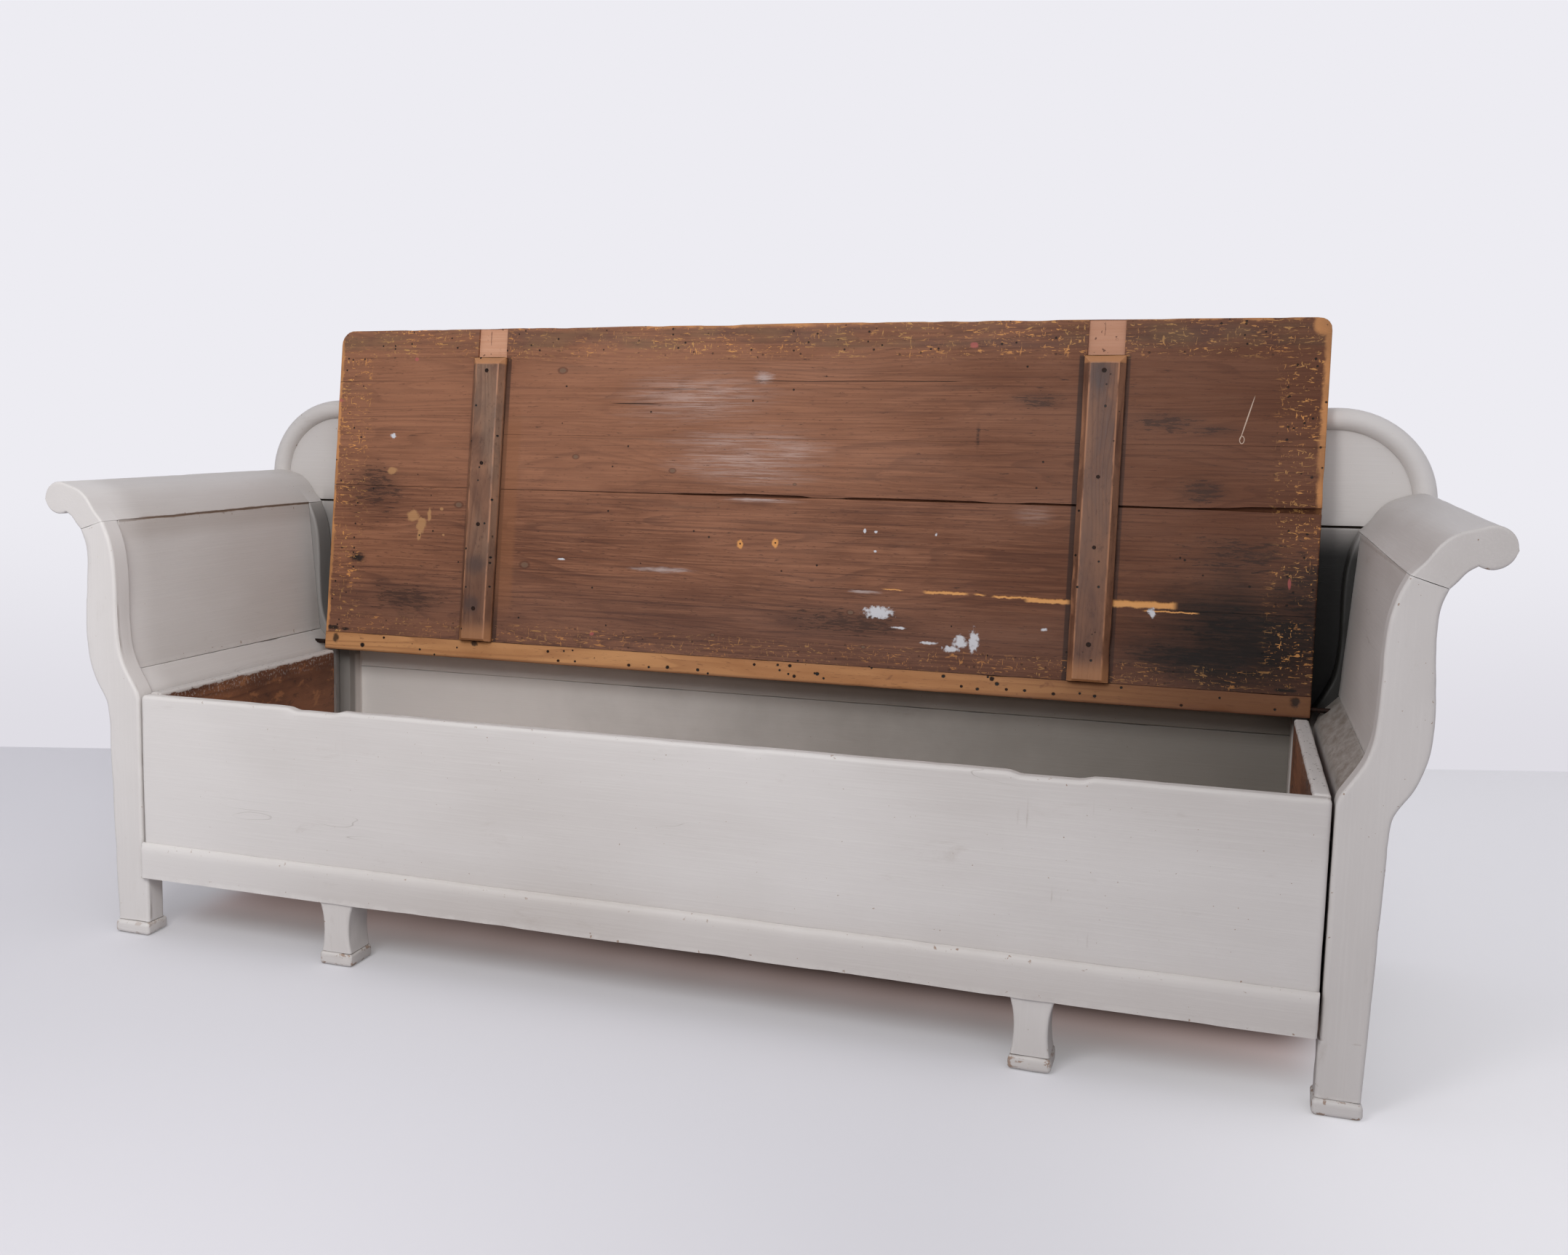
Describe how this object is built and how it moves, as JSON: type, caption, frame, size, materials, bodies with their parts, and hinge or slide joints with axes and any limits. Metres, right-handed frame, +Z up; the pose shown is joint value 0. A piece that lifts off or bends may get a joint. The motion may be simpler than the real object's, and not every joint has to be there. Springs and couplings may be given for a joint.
{
  "type": "pull-out bench bed",
  "caption": "Painted wooden bench with scrolled arms, an arched back, a hinged seat lid and a front that pulls out on slats to make a bed.",
  "frame": {"origin": "on the floor, under the middle of the bench's bounding box with the drawer shut and the lid open", "axes": "+X to the right as seen from the front, along the length; +Y to the back; +Z up"},
  "size_m": [2.152, 0.7112, 1.04],
  "materials": {
    "grey_paint": "brushed matt light grey paint, worn at the edges",
    "lid_pine": "old bare pine, dark reddish brown",
    "batten_pine": "old bare pine, greyish brown",
    "pale_pine": "newer bare pine, orange",
    "drawer_side_pine": "bare pine, painted along its top edge",
    "bare_pine": "bare sawn pine",
    "iron": "dark old iron"
  },
  "bodies": {
    "frame": {"arm_roll_left": "grey_paint", "arm_roll_right": "grey_paint", "back_board_arched": "grey_paint", "back_board_lower": "grey_paint", "back_moulding": "grey_paint", "end_board_left": "grey_paint", "end_board_right": "grey_paint", "end_panel_left": "grey_paint", "end_panel_right": "grey_paint", "end_rail_left": "grey_paint", "end_rail_right": "grey_paint", "fixed_slat_1": "bare_pine", "fixed_slat_2": "bare_pine", "fixed_slat_3": "bare_pine", "fixed_slat_4": "bare_pine", "fixed_slat_5": "bare_pine", "front_cross_rail": "bare_pine", "front_post_left": "grey_paint", "front_post_right": "grey_paint", "front_shoe_left": "grey_paint", "front_shoe_right": "grey_paint", "pivot_pin_left": "iron", "pivot_pin_right": "iron", "rear_box_board": "grey_paint", "rear_corner_strip_left": "grey_paint", "rear_corner_strip_right": "grey_paint", "rear_post_left": "grey_paint", "rear_post_right": "grey_paint", "rear_seat_strip": "grey_paint", "rear_shoe_left": "grey_paint", "rear_shoe_right": "grey_paint", "rear_slat_ledge": "bare_pine", "runner_left": "bare_pine", "runner_right": "bare_pine"},
    "drawer": {"drawer_foot_left": "grey_paint", "drawer_foot_right": "grey_paint", "drawer_foot_shoe_left": "grey_paint", "drawer_foot_shoe_right": "grey_paint", "drawer_front": "grey_paint", "drawer_side_left": "drawer_side_pine", "drawer_side_right": "drawer_side_pine", "moving_slat_1": "bare_pine", "moving_slat_2": "bare_pine", "moving_slat_3": "bare_pine", "moving_slat_4": "bare_pine", "moving_slat_5": "bare_pine", "moving_slat_6": "bare_pine", "plinth": "grey_paint", "slat_cleat": "bare_pine"},
    "lid": {"batten_left": "batten_pine", "batten_right": "batten_pine", "batten_screws": "iron", "lid_board_front": "lid_pine", "lid_board_middle": "lid_pine", "lid_board_rear": "lid_pine", "lid_rear_strip": "pale_pine"}
  },
  "joints": [
    {"name": "drawer_slide", "type": "slide", "parent": "frame", "child": "drawer", "axis": [0, -1, 0], "range_m": [0, 0.45]},
    {"name": "lid_hinge", "type": "hinge", "parent": "frame", "child": "lid", "pos_m": [0, 0.2415, 0.4215], "axis": [1, 0, 0], "range_deg": [0, 97.33]}
  ]
}
